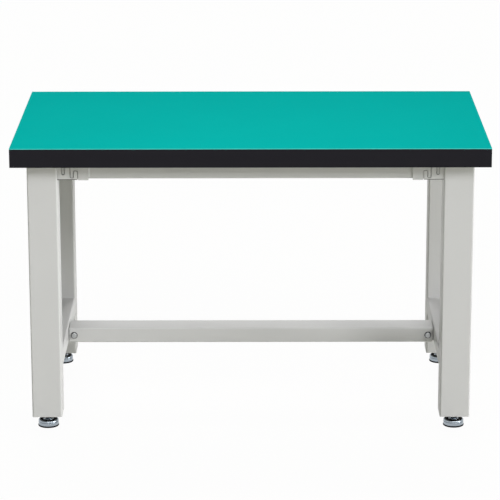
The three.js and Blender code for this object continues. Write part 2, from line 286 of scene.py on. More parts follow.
@dataclass(frozen=True)
class ChipBoard(Finish):
    """Pressed wood chips, each with a tone of its own."""

    def grain(self, tree: Tree, place: Socket) -> Socket:
        """Return the tone of the chip, from 0 to 1."""
        flat = add_node(tree, "ShaderNodeMapping", {"Vector": place, "Scale": (1.0, 1.6, 4.0)})
        chips = add_node(
            tree, "ShaderNodeTexVoronoi", {"Vector": flat.outputs["Vector"], "Scale": per_mm(self.fine)}
        )
        return chips.outputs["Distance"]


# Polyester powder coat, sprayed dry and baked: an even light grey with soft gloss and a fine orange peel. The
# real peel is about 2 mm wide and is drawn at 5 mm so that it shows.
POWDER_COAT = Finish(
    "powder_coated_steel", "powder_coat", "#c5c5c5", "#c1c1c1", 0.42, coarse=160, fine=5, relief=0.03, specular=0.25
)
# Cut edges and slit walls of the hooked plates in dark grey: painted shade, so that the slits and the plates' outlines
# show as dark lines.
CUT_EDGE_SHADE = Finish("cut_edge_painted_shade", "powder_coat", "#5c5c57", "#50504c", 0.6, coarse=20, fine=2, specular=0.2)
# Green vinyl mat: even colour, dull, with a pressed grain. The real grain is about 1 mm and is drawn at 3 mm.
VINYL_MAT = PressedMat(
    "vinyl_mat_green", "green_mat", "#00a19a", "#009c95", 0.85, coarse=220, fine=3, relief=0.04, specular=0.01
)
# Rounded edge and sides of the mat, paler than its pressed face: a painted highlight along the top's edges.
MAT_EDGE_HIGHLIGHT = Finish("vinyl_mat_edge_painted_highlight", "green_mat", "#4cc8c1", "#43c0b9", 0.8, coarse=60, fine=2, specular=0.1)
# Black edge band of ABS, extruded with a satin skin.
EDGE_BAND = Finish(
    "abs_edge_band_black", "black_band", "#18171c", "#1c1b20", 0.5, coarse=70, fine=2.5, relief=0.02, specular=0.08
)
# Blue-passivated zinc on turned steel: bright, cool in tone, smooth enough to mirror the room softly.
BLUE_ZINC = Finish(
    "blue_zinc_plated_steel", "plated_steel", "#a6aeb5", "#949da5", 0.2, 1.0, coarse=30, fine=1.5, relief=0.004
)
# Near-black steel on the feet's washers and lock nuts and under the stretcher's bolt heads: painted shade for the dark
# zone under the legs and round the bolt heads.
SHADE_BLACK_STEEL = Finish(
    "black_steel_painted_shade", "black_steel", "#1c1d20", "#26272a", 0.42, 1.0, coarse=12, fine=1.2, relief=0.006
)
# Clear zinc on the bolts and screws, paler and duller than the feet.
ZINC = Finish("zinc_plated_steel", "zinc_fastener", "#c3c6c9", "#b5b6b4", 0.34, 1.0, coarse=12, fine=1.2, relief=0.006)
# Moulded black rubber, dull and slightly dusty.
RUBBER = Finish(
    "moulded_rubber_black", "black_rubber", "#141416", "#1a1a1c", 0.8, coarse=15, fine=1.5, relief=0.02, specular=0.1
)
# Particle board behind the band.
BOARD = ChipBoard("particle_board", "core_board", "#b48f63", "#94703f", 0.8, coarse=4, fine=5, relief=0.1, specular=0.2)
# Grey paper laminate that balances the mat on the underside.
BACKER = Finish("paper_laminate_grey", "backer_sheet", "#c9c8c2", "#bdbcb6", 0.6, coarse=120, fine=3, relief=0.02)


def deselect_all() -> None:
    """Leave nothing selected, in object mode."""
    if bpy.context.mode != "OBJECT":
        bpy.ops.object.mode_set(mode="OBJECT")
    bpy.ops.object.select_all(action="DESELECT")


def take_up(piece: Piece) -> None:
    """Make a piece the only selected object, and the active one."""
    deselect_all()
    piece.select_set(True)
    bpy.context.view_layer.objects.active = piece


def name_piece(name: str) -> Piece:
    """Name the primitive that was just added, and return it."""
    piece = bpy.context.active_object
    piece.name = name
    piece.data.name = name
    return piece


def settle(piece: Piece) -> None:
    """Put a piece's place, turn and scale into its mesh."""
    take_up(piece)
    bpy.ops.object.transform_apply(location=True, rotation=True, scale=True)


def block(name: str, low: Sequence[float], high: Sequence[float]) -> Piece:
    """Start a piece as a box.

    Args:
        name: Name of the piece.
        low: Lowest corner in metres.
        high: Highest corner in metres.

    Returns:
        The box, in object mode.
    """
    deselect_all()
    middle = [(a + b) / 2 for a, b in zip(low, high)]
    bpy.ops.mesh.primitive_cube_add(size=1.0, location=middle)
    piece = name_piece(name)
    piece.scale = [b - a for a, b in zip(low, high)]
    settle(piece)
    return piece


def open_all(piece: Piece) -> None:
    """Go into edit mode with all of a piece selected."""
    take_up(piece)
    bpy.ops.object.mode_set(mode="EDIT")
    bpy.ops.mesh.select_all(action="SELECT")


def smooth(piece: Piece, below: float = SMOOTH_BELOW) -> None:
    """Shade a piece smooth across edges below an angle in radians."""
    take_up(piece)
    bpy.ops.object.shade_smooth_by_angle(angle=below)


def smooth_flat(piece: Piece) -> None:
    """Shade a piece smooth across its roundings, while its large faces stay flat."""
    smooth(piece)
    apply_modifier(piece, "WEIGHTED_NORMAL", keep_sharp=True)


def pick(piece: Piece, part: Part, test: Test) -> None:
    """Select faces or edges by their place, and stay in edit mode.

    Args:
        piece: Piece to work on.
        part: What to pick.
        test: Takes the middle and the normal of a face, or the middle and the direction of an edge.
    """
    take_up(piece)
    bpy.ops.object.mode_set(mode="EDIT")
    bpy.ops.mesh.select_mode(type=part.value)
    bpy.ops.mesh.select_all(action="DESELECT")
    bpy.ops.object.mode_set(mode="OBJECT")
    mesh = piece.data
    if part is Part.FACE:
        for polygon in mesh.polygons:
            polygon.select = test(polygon.center, polygon.normal)
    else:
        for edge in mesh.edges:
            start, end = (mesh.vertices[index].co for index in edge.vertices)
            edge.select = test((start + end) / 2, (end - start).normalized())
    bpy.ops.object.mode_set(mode="EDIT")


def round_picked(piece: Piece, test: Test, width: float, steps: int = EDGE_STEPS) -> None:
    """Round the edges that a test picks.

    Args:
        piece: Piece to work on.
        test: Takes the middle and the direction of an edge.
        width: Width of the rounding in metres.
        steps: Faces across the rounding.
    """
    pick(piece, Part.EDGE, test)
    bpy.ops.mesh.bevel(offset=width, segments=steps, affect="EDGES")
    bpy.ops.object.mode_set(mode="OBJECT")


def apply_modifier(piece: Piece, kind: str, **settings: object) -> None:
    """Add a modifier with its settings and apply it."""
    take_up(piece)
    modifier = piece.modifiers.new(kind, kind)
    for name, value in settings.items():
        setattr(modifier, name, value)
    bpy.ops.object.modifier_apply(modifier=modifier.name)


def ease_edges(piece: Piece, width: float, segments: int = 2, above: float = 40.0) -> None:
    """Round a piece's sharp edges and smooth the rest.

    Args:
        piece: Piece to finish.
        width: Width of the rounding in metres.
        segments: Faces across the rounding.
        above: Smallest angle in degrees between two faces that counts as sharp.
    """
    apply_modifier(
        piece, "BEVEL", width=width, segments=segments, limit_method="ANGLE", angle_limit=math.radians(above),
        use_clamp_overlap=True, miter_outer="MITER_ARC" if segments > 1 else "MITER_SHARP",
    )
    smooth_flat(piece)


def merge_and_face_out(piece: Piece) -> None:
    """Merge a closed mesh's doubles and turn its faces outwards."""
    open_all(piece)
    bpy.ops.mesh.remove_doubles(threshold=MERGE)
    bpy.ops.mesh.normals_make_consistent(inside=False)
    bpy.ops.object.mode_set(mode="OBJECT")


def folded_tube(
    name: str, low: Sequence[float], high: Sequence[float], along: Axis, wall: float, bend: float
) -> Piece:
    """Model a rectangular tube with rounded corners and open ends.

    Args:
        name: Name of the piece.
        low: Lowest corner in metres.
        high: Highest corner in metres.
        along: Axis of the tube.
        wall: Thickness of the sheet in metres.
        bend: Outer radius of the corners in metres.

    Returns:
        The tube.
    """
    tube = block(name, low, high)
    round_picked(tube, lambda middle, way: abs(way[along.value]) > ALONG, bend, FOLD_STEPS)
    pick(tube, Part.FACE, lambda middle, normal: abs(normal[along.value]) > ALONG)
    bpy.ops.mesh.delete(type="ONLY_FACE")
    bpy.ops.object.mode_set(mode="OBJECT")
    apply_modifier(tube, "SOLIDIFY", thickness=wall, offset=-1.0, use_even_offset=True)
    ease_edges(tube, SHEET_EDGE)
    return tube


def folded_channel(
    name: str, low: Sequence[float], high: Sequence[float], wall: float, bend: float, lip: float
) -> Piece:
    """Model a channel along X that is open below, with two lips turned in.

    Args:
        name: Name of the piece.
        low: Lowest corner in metres.
        high: Highest corner in metres.
        wall: Thickness of the sheet in metres.
        bend: Outer radius of the corners in metres.
        lip: Width of each lip in metres.

    Returns:
        The channel.
    """
    channel = block(name, low, high)
    for edge_y in (low[1] + lip, high[1] - lip):
        open_all(channel)
        bpy.ops.mesh.bisect(plane_co=(0.0, edge_y, 0.0), plane_no=(0.0, 1.0, 0.0))
        bpy.ops.object.mode_set(mode="OBJECT")
    middle_y = (low[1] + high[1]) / 2
    slot_half = (high[1] - low[1]) / 2 - lip
    pick(
        channel,
        Part.FACE,
        lambda middle, normal: abs(normal.x) > ALONG
        or (normal.z < -ALONG and abs(middle.y - middle_y) < slot_half),
    )
    bpy.ops.mesh.delete(type="ONLY_FACE")
    round_picked(
        channel,
        lambda middle, way: abs(way.x) > ALONG
        and min(middle.y - low[1], high[1] - middle.y) < NEAR
        and min(middle.z - low[2], high[2] - middle.z) < NEAR,
        bend,
        FOLD_STEPS,
    )
    apply_modifier(channel, "SOLIDIFY", thickness=wall, offset=-1.0, use_even_offset=True)
    ease_edges(channel, SHEET_EDGE)
    return channel


def turned(name: str, profile: Iterable[Point], ring: bool = False, steps: int = ROUND_STEPS) -> Piece:
    """Model a round piece on the Z axis by extruding a circle along a profile.

    Args:
        name: Name of the piece.
        profile: Radius and height of each ring, in millimetres, from one end to the other.
        ring: True where the profile comes back to its start round a bore.
        steps: Faces round the piece.

    Returns:
        The piece, on the world's Z axis.
    """
    points = list(profile)
    deselect_all()
    radius, height = points[0]
    bpy.ops.mesh.primitive_circle_add(
        vertices=steps, radius=radius * MM, location=(0.0, 0.0, height * MM), fill_type="NOTHING" if ring else "NGON"
    )
    piece = name_piece(name)
    settle(piece)
    bpy.ops.object.mode_set(mode="EDIT")
    bpy.ops.mesh.select_mode(type="EDGE" if ring else "FACE")
    bpy.ops.mesh.select_all(action="SELECT")
    for next_radius, next_height in points[1:]:
        bpy.ops.mesh.extrude_region_move(
            TRANSFORM_OT_translate={"value": (0.0, 0.0, (next_height - height) * MM)}
        )
        share = next_radius / radius
        bpy.ops.transform.resize(value=(share, share, 1.0), center_override=(0.0, 0.0, next_height * MM))
        radius, height = next_radius, next_height
    bpy.ops.object.mode_set(mode="OBJECT")
    merge_and_face_out(piece)
    return piece


def thread(name: str, radius: float, depth: float, pitch: float, low: float, high: float) -> Piece:
    """Model a threaded rod on the Z axis, its helix cut square at both ends.

    Args:
        name: Name of the piece.
        radius: Outer radius in millimetres.
        depth: Depth of the thread in millimetres.
        pitch: Rise of one turn in millimetres.
        low: Lower end in millimetres.
        high: Upper end in millimetres.

    Returns:
        The rod, on the world's Z axis.
    """
    root = radius - depth
    root_end, crest_start, crest_end = (pitch * share for share in THREAD_SHARES)
    corners = [(root, 0.0), (root, root_end), (radius, crest_start), (radius, crest_end), (root, pitch)]
    deselect_all()
    bpy.ops.mesh.primitive_circle_add(vertices=len(corners), radius=radius * MM)
    rod = name_piece(name)
    for vertex, (out, rise) in zip(rod.data.vertices, corners):
        vertex.co = (out * MM, 0.0, (low - 2 * pitch + rise) * MM)
    closing = {0, len(corners) - 1}
    take_up(rod)
    bpy.ops.object.mode_set(mode="EDIT")
    bpy.ops.mesh.select_mode(type="EDGE")
    bpy.ops.mesh.select_all(action="DESELECT")
    bpy.ops.object.mode_set(mode="OBJECT")
    for edge in rod.data.edges:
        edge.select = set(edge.vertices) == closing
    bpy.ops.object.mode_set(mode="EDIT")
    bpy.ops.mesh.delete(type="EDGE")
    bpy.ops.object.mode_set(mode="OBJECT")
    turns = math.ceil((high - low) / pitch) + 4
    apply_modifier(
        rod, "SCREW", axis="Z", angle=math.tau, screw_offset=pitch * MM, iterations=turns, steps=THREAD_STEPS,
        render_steps=THREAD_STEPS, use_merge_vertices=True, merge_threshold=MERGE,
    )
    for level, way in ((low, -1.0), (high, 1.0)):
        open_all(rod)
        bpy.ops.mesh.bisect(
            plane_co=(0.0, 0.0, level * MM), plane_no=(0.0, 0.0, way), use_fill=True, clear_outer=True
        )
        bpy.ops.object.mode_set(mode="OBJECT")
    merge_and_face_out(rod)
    return rod


def carve(piece: Piece, tool: Piece, operation: str) -> None:
    """Cut a piece with another, and delete the tool.

    Args:
        piece: Piece that is cut.
        tool: Closed mesh that cuts it.
        operation: DIFFERENCE, INTERSECT or UNION.
    """
    apply_modifier(piece, "BOOLEAN", object=tool, operation=operation, solver="EXACT")
    bpy.data.objects.remove(tool)


def hexagon(name: str, flats: float, low: float, high: float, bore: float = 0.0) -> Piece:
    """Model a hexagon nut or bolt head on the Z axis, with its corners turned off.

    Args:
        name: Name of the piece.
        flats: Width across the flats in millimetres.
        low: Lower face in millimetres.
        high: Upper face in millimetres.
        bore: Radius of the hole in millimetres, or zero for none.

    Returns:
        The hexagon, on the world's Z axis.
    """
    corner = flats / math.sqrt(3.0)
    deselect_all()
    bpy.ops.mesh.primitive_cylinder_add(
        vertices=6, radius=corner * MM, depth=(high - low) * MM, location=(0.0, 0.0, (low + high) / 2 * MM)
    )
    nut = name_piece(name)
    settle(nut)
    face, clear = flats * 0.475, corner + 0.2
    drop = (clear - face) * math.tan(math.radians(30.0))
    blank = turned("chamfer_tool", [(face, low), (clear, low + drop), (clear, high - drop), (face, high)])
    carve(nut, blank, "INTERSECT")
    if bore:
        rim, beyond = 0.6, 1.0
        mouth = bore + rim + beyond
        tool = turned(
            "bore_tool", [(mouth, low - beyond), (bore, low + rim), (bore, high - rim), (mouth, high + beyond)]
        )
        carve(nut, tool, "DIFFERENCE")
    ease_edges(nut, 0.15 * MM, segments=1, above=25.0)
    return nut


def refined_copy(node: str, name: str, width: float) -> Piece:
    """Copy a CAD node's mesh into a new piece with merged faces and rounded edges.

    Args:
        node: Name of the CAD node.
        name: Name of the new piece.
        width: Width of the edge rounding in metres.

    Returns:
        The new piece.
    """
    deselect_all()
    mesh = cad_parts[node].data.copy()
    mesh.materials.clear()
    piece = bpy.data.objects.new(name, mesh)
    mesh.name = name
    bpy.context.collection.objects.link(piece)
    open_all(piece)
    bpy.ops.mesh.remove_doubles(threshold=MERGE)
    bpy.ops.mesh.dissolve_limited(angle_limit=math.radians(1.0))
    bpy.ops.object.mode_set(mode="OBJECT")
    ease_edges(piece, width, above=50.0)
    return piece


def copy_piece(piece: Piece, name: str, move: Matrix) -> Piece:
    """Copy a piece with a mesh of its own, moved to a new place.

    Args:
        piece: Piece to copy.
        name: Name of the copy.
        move: Move or turn that is put into the copy's mesh.

    Returns:
        The copy.
    """
    twin = bpy.data.objects.new(name, piece.data.copy())
    twin.data.name = name
    bpy.context.collection.objects.link(twin)
    twin.data.transform(move)
    return twin


def weld_bead(name: str, start: Sequence[float], end: Sequence[float], radius: float = 1.9) -> Piece:
    """Model a rippled weld bead along a straight seam.

    Args:
        name: Name of the piece.
        start: One end of the seam in metres.
        end: Other end of the seam in metres.
        radius: Radius of the bead in millimetres.

    Returns:
        The bead, half sunk in the two faces that it joins.
    """
    way = Vector(end) - Vector(start)
    length = way.length / MM
    count = 2 * max(2, round(length / BEAD_RIPPLE))
    rings = [
        (radius * (0.55 if index in (0, count) else 1.0 - 0.12 * (index % 2)), length * index / count)
        for index in range(count + 1)
    ]
    bead = turned(name, rings, steps=14)
    smooth(bead, math.radians(60.0))
    bead.data.transform(Matrix.Translation(start) @ way.to_track_quat("Z", "Y").to_matrix().to_4x4())
    return bead


def hand_over(piece: Piece, finish: Finish, body: str, *nodes: str) -> None:
    """Give a finished piece its material and its place in the frame.

    Args:
        piece: Finished piece.
        finish: Its surface.
        body: CAD body that it moves with.
        *nodes: CAD nodes that it stands for.
    """
    deselect_all()
    piece.data.materials.clear()
    piece.data.materials.append(finish.material())
    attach(piece, body)
    if nodes:
        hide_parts(*nodes)
    LOG.info("%s on %s, %d faces", piece.name, body, len(piece.data.polygons))


def dress_node(node: str, finish: Finish) -> None:
    """Give a CAD node that stays in view its node material."""
    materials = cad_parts[node].data.materials
    if len(materials):
        materials[0] = finish.material()
    else:
        materials.append(finish.material())
    LOG.info("%s keeps its CAD shape", node)


@dataclass
class Worktop:
    """Green mat on a board, with a black band round its edges.

    Attributes:
        mat_corner: Radius of the mat's corners in metres.
        mat_round: Rounding of the mat's upper edge in metres.
        band_round: Rounding of the band's edges in metres.
    """

    mat_corner: float = 1.5 * MM
    mat_round: float = 0.9 * MM
    band_round: float = 1.2 * MM

    def build(self) -> None:
        """Model the mat and the bands."""
        low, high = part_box("worktop_mat")
        mat = block("mat", low, high)
        round_picked(mat, lambda middle, way: abs(way.z) > ALONG, self.mat_corner)
        round_picked(mat, lambda middle, way: middle.z > high[2] - NEAR, self.mat_round)
        smooth_flat(mat)
        hand_over(mat, VINYL_MAT, FRAME_BODY, "worktop_mat")
        # The mat's rounded edge and sides take a paler green: a painted highlight.
        mat.data.materials.append(MAT_EDGE_HIGHLIGHT.material())
        for polygon in mat.data.polygons:
            polygon.material_index = int(abs(polygon.normal.z) < 0.6)
        for side in ("front", "rear", "left", "right"):
            self.build_band(side)

    def build_band(self, side: str) -> None:
        """Model one strip of the edge band, with its long outer edges rounded.

        Args:
            side: Side of the table that the strip is on.
        """
        node = f"edge_band_{side}"
        low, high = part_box(node)
        band = block(f"band_{side}", low, high)
        across = 1 if side in ("front", "rear") else 0
        sign = -1 if side in ("front", "left") else 1
        outer = high[across] if sign > 0 else low[across]
        round_picked(
            band,
            lambda middle, way: abs(middle[across] - outer) < NEAR
            and (middle.z < low[2] + NEAR or abs(way.z) > ALONG),
            self.band_round,
        )
        smooth_flat(band)
        hand_over(band, EDGE_BAND, FRAME_BODY, node)

    def dress(self) -> None:
        """Give the layers that keep their CAD shape their materials."""
        dress_node("worktop_core", BOARD)
        dress_node("worktop_backer", BACKER)


@dataclass
class SideFrames:
    """Legs and the rails between them, of folded sheet.

    Attributes:
        wall: Thickness of the sheet in metres.
        bend: Outer radius of the folds in metres.
        hidden_above: Height in metres above which the top hides a weld.
    """

    wall: float = 2 * MM
    bend: float = 4 * MM
    hidden_above: float = 0.69

    def build(self) -> None:
        """Model the four legs, the four rails and the rails' welds."""
        for corner in Corner:
            node = f"leg_{corner.label}"
            leg = folded_tube(f"leg.{corner.label}", *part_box(node), Axis.Z, self.wall, self.bend)
            hand_over(leg, POWDER_COAT, FRAME_BODY, node)
        for level in ("upper", "lower"):
            for side in ("left", "right"):
                node = f"{level}_side_rail_{side}"
                rail = folded_tube(f"{level}_rail.{side}", *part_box(node), Axis.Y, self.wall, self.bend)
                hand_over(rail, POWDER_COAT, FRAME_BODY, node)
                self.weld_rail(node, f"{level}_{side}")

    def weld_rail(self, node: str, label: str) -> None:
        """Model the welds above and below each end of a rail.

        Args:
            node: CAD node of the rail.
            label: End of the beads' names.
        """
        low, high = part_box(node)
        for end, end_y in (("front", low[1]), ("rear", high[1])):
            for edge, edge_z in (("under", low[2]), ("over", high[2])):
                if edge_z > self.hidden_above:
                    continue
                start = (low[0] + self.bend, end_y, edge_z)
                bead = weld_bead(f"weld_{edge}_{end}.{label}", start, (high[0] - self.bend, end_y, edge_z))
                hand_over(bead, POWDER_COAT, FRAME_BODY)


@dataclass
class Beams:
    """Channel beams under the top, with the hooks and cradles that hold them in the legs.

    Attributes:
        wall: Thickness of the sheet in metres.
        bend: Outer radius of the folds in metres.
        lip: Width of the lips in metres.
        cut_edge: Rounding of the cut edges of cradles and hooks in metres.
        plate: Thickness of the hooked plates in metres.
        plate_weld: Width along the web of the ground weld at the end of a hook plate in metres.
        weld_toe: Height of the weld's outer end in metres.
        margin: Distance in metres that a cut goes past a sheet, and that the weld stays below the plate's top.
    """

    wall: float = 2 * MM
    bend: float = 4 * MM
    lip: float = 14 * MM
    cut_edge: float = 0.6 * MM
    plate: float = 3 * MM
    plate_weld: float = 3.2 * MM
    weld_toe: float = 0.1 * MM
    margin: float = 1 * MM

    def build(self) -> None:
        """Model the beams, and the four interlocks from their CAD outlines."""
        for side in ("front", "rear"):
            node = f"{side}_beam"
            beam = folded_channel(f"beam.{side}", *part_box(node), self.wall, self.bend, self.lip)
            self.open_web(beam, side)
            hand_over(beam, POWDER_COAT, FRAME_BODY, node)
        for corner in Corner:
            for kind in ("cradle", "hook"):
                node = f"beam_{kind}_{corner.label}"
                plate = refined_copy(node, f"{kind}.{corner.label}", self.cut_edge)
                hand_over(plate, POWDER_COAT, FRAME_BODY, node)
                self.paint_cut_edge_shade(plate, corner, node)
            self.weld_plate(corner)

    def paint_cut_edge_shade(self, plate: Piece, corner: Corner, node: str) -> None:
        """Paint shade on the cut edges and slit walls of a hooked plate, in a dark grey.

        Args:
            plate: Piece that holds the plate.
            corner: Corner of the table that the piece is at.
            node: CAD node of the piece.
        """
        low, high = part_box(node)
        outer = high[1] if corner.face > 0 else low[1]
        plate.data.materials.append(CUT_EDGE_SHADE.material())
        for polygon in plate.data.polygons:
            in_plate = abs(polygon.center.y - outer) < self.plate
            polygon.material_index = int(in_plate and abs(polygon.normal.y) < ALONG)

    def open_web(self, beam: Piece, side: str) -> None:
        """Cut the web away behind the fingers, so that the slits look into the hollow beam.

        Args:
            beam: Beam to cut.
            side: Side of the table that the beam is on.
        """
        low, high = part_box(f"{side}_beam")
        sign = 1 if side == "rear" else -1
        web = high[1] if sign > 0 else low[1]
        reach = sorted((web + sign * self.margin, web - sign * (self.wall + self.margin)))
        for end in ("left", "right"):
            cradle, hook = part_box(f"beam_cradle_{side}_{end}"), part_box(f"beam_hook_{side}_{end}")
            span = (max(cradle[0][0], hook[0][0]), min(cradle[1][0], hook[1][0]))
            tool = block(
                "web_tool", (span[0], reach[0], low[2] + self.bend), (span[1], reach[1], high[2] - self.bend)
            )
            carve(beam, tool, "DIFFERENCE")

    def weld_plate(self, corner: Corner) -> None:
        """Model the weld down the inner end of a hook plate, ground to a flat slope.

        Args:
            corner: Corner of the table that the plate is at.
        """
        low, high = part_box(f"beam_hook_{corner.label}")
        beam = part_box(f"{corner.label.split('_')[0]}_beam")
        end_x = low[0] if corner.side > 0 else high[0]
        foot_x = end_x - corner.side * self.plate_weld
        web_y = beam[1][1] if corner.face > 0 else beam[0][1]
        crest_y = web_y + corner.face * self.plate
        span_x, span_y = sorted((foot_x, end_x)), sorted((crest_y, web_y))
        weld = block(
            f"weld_hook.{corner.label}",
            (span_x[0], span_y[0], beam[0][2] + self.bend),
            (span_x[1], span_y[1], high[2] - self.margin),
        )
        round_picked(
            weld,
            lambda middle, way: abs(way.z) > ALONG and math.hypot(middle.x - foot_x, middle.y - crest_y) < NEAR,
            self.plate - self.weld_toe,
            steps=1,
        )
        hand_over(weld, POWDER_COAT, FRAME_BODY)


@dataclass
class Stretcher:
    """Low channel between the side frames, its end brackets and its bolts.

    Attributes:
        wall: Thickness of the sheet in metres.
        bend: Outer radius of the folds in metres.
        lip: Width of the lips in metres.
        head_flats: Width of a bolt head across its flats in millimetres.
        head_height: Height of a bolt head in millimetres.
        shank: Radius of a bolt in millimetres.
        shank_length: Length of a bolt under its head in millimetres.
        washer_radius: Radius of the black washer under a bolt head in millimetres.
        shade_washer_height: Thickness of that washer in millimetres.
    """

    wall: float = 2 * MM
    bend: float = 4 * MM
    lip: float = 16 * MM
    head_flats: float = 13.0
    head_height: float = 5.5
    shank: float = 4.0
    shank_length: float = 14.0
    washer_radius: float = 9.0
    shade_washer_height: float = 1.4

    def build(self) -> None:
        """Model the channel, the brackets and the four bolts."""
        channel = folded_channel("stretcher_channel", *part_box("stretcher"), self.wall, self.bend, self.lip)
        hand_over(channel, POWDER_COAT, FRAME_BODY, "stretcher")
        for side in ("left", "right"):
            node = f"stretcher_bracket_{side}"
            hand_over(refined_copy(node, f"bracket.{side}", SMALL_PLATE_EDGE), POWDER_COAT, FRAME_BODY, node)
        pattern, washer = self.bolt(), self.washer()
        for corner in Corner:
            node = f"stretcher_bolt_{corner.label}"
            low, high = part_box(node)
            middle = [(a + b) / 2 for a, b in zip(low, high)]
            seat = (high[1] if corner.face > 0 else low[1]) - corner.face * self.head_height * MM
            turn = Euler((-corner.face * math.pi / 2, 0.0, 0.0)).to_matrix().to_4x4()
            move = Matrix.Translation((middle[0], seat, middle[2])) @ turn
            hand_over(copy_piece(pattern, f"bolt.{corner.label}", move), ZINC, FRAME_BODY, node)
            # A near-black washer under each bolt head: painted shade round the head.
            hand_over(copy_piece(washer, f"bolt_washer.{corner.label}", move), SHADE_BLACK_STEEL, FRAME_BODY)
        bpy.data.objects.remove(pattern)
        bpy.data.objects.remove(washer)

    def washer(self) -> Piece:
        """Return the black washer round the foot of a bolt head, on the Z axis: painted shade round the head."""
        bore, radius, height = self.shank + 0.2, self.washer_radius, self.shade_washer_height
        washer = turned(
            "bolt_washer_pattern",
            [(bore, 0.0), (radius, 0.0), (radius, height), (bore, height), (bore, 0.0)],
            ring=True,
        )
        ease_edges(washer, 0.2 * MM)
        return washer

    def bolt(self) -> Piece:
        """Return a hexagon bolt on the Z axis, its head above zero and its shank below."""
        head = hexagon("bolt_pattern", self.head_flats, 0.0, self.head_height)
        radius, end = self.shank, -self.shank_length
        shank = turned("bolt_shank", [(radius - 0.8, end), (radius, end + 0.8), (radius, 0.5)])
        carve(head, shank, "UNION")
        smooth_flat(head)
        return head


@dataclass
class TopScrews:
    """Pan head screws that hold the top on the beams from below.

    Attributes:
        head_radius: Radius of the head in millimetres.
        head_height: Height of the head in millimetres.
        radius: Outer radius of the thread in millimetres.
        length: Length of the screw under its head in millimetres.
        recess_span: Length of the cross recess's arms, tip to tip, in millimetres.
        recess_width: Width of an arm in millimetres.
        recess_depth: Depth of the recess in millimetres.
    """

    head_radius: float = 5.5
    head_height: float = 3.0
    radius: float = 2.5
    length: float = 35.0
    recess_span: float = 5.2
    recess_width: float = 1.1
    recess_depth: float = 1.3

    def build(self) -> None:
        """Model one screw with a cross recess, and copy it to its four places."""
        r, h = self.head_radius, self.head_height
        pattern = turned(
            "screw_pattern",
            [(r * 0.45, 0.0), (r * 0.72, 0.25), (r * 0.92, 0.8), (r, 1.6), (r, h), (self.radius * 0.8, h),
             (self.radius * 0.8, h + self.length - 4.0), (0.3, h + self.length)],
            steps=32,
        )
        arm = (self.recess_span / 2 * MM, self.recess_width / 2 * MM)
        for half_x, half_y in (arm, arm[::-1]):
            slot = block("recess_tool", (-half_x, -half_y, -1 * MM), (half_x, half_y, self.recess_depth * MM))
            carve(pattern, slot, "DIFFERENCE")
        ease_edges(pattern, 0.08 * MM, segments=1)
        for corner in Corner:
            node = f"top_screw_{corner.label}"
            low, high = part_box(node)
            move = Matrix.Translation(((low[0] + high[0]) / 2, (low[1] + high[1]) / 2, low[2]))
            hand_over(copy_piece(pattern, f"screw.{corner.label}", move), ZINC, FRAME_BODY, node)
        bpy.data.objects.remove(pattern)


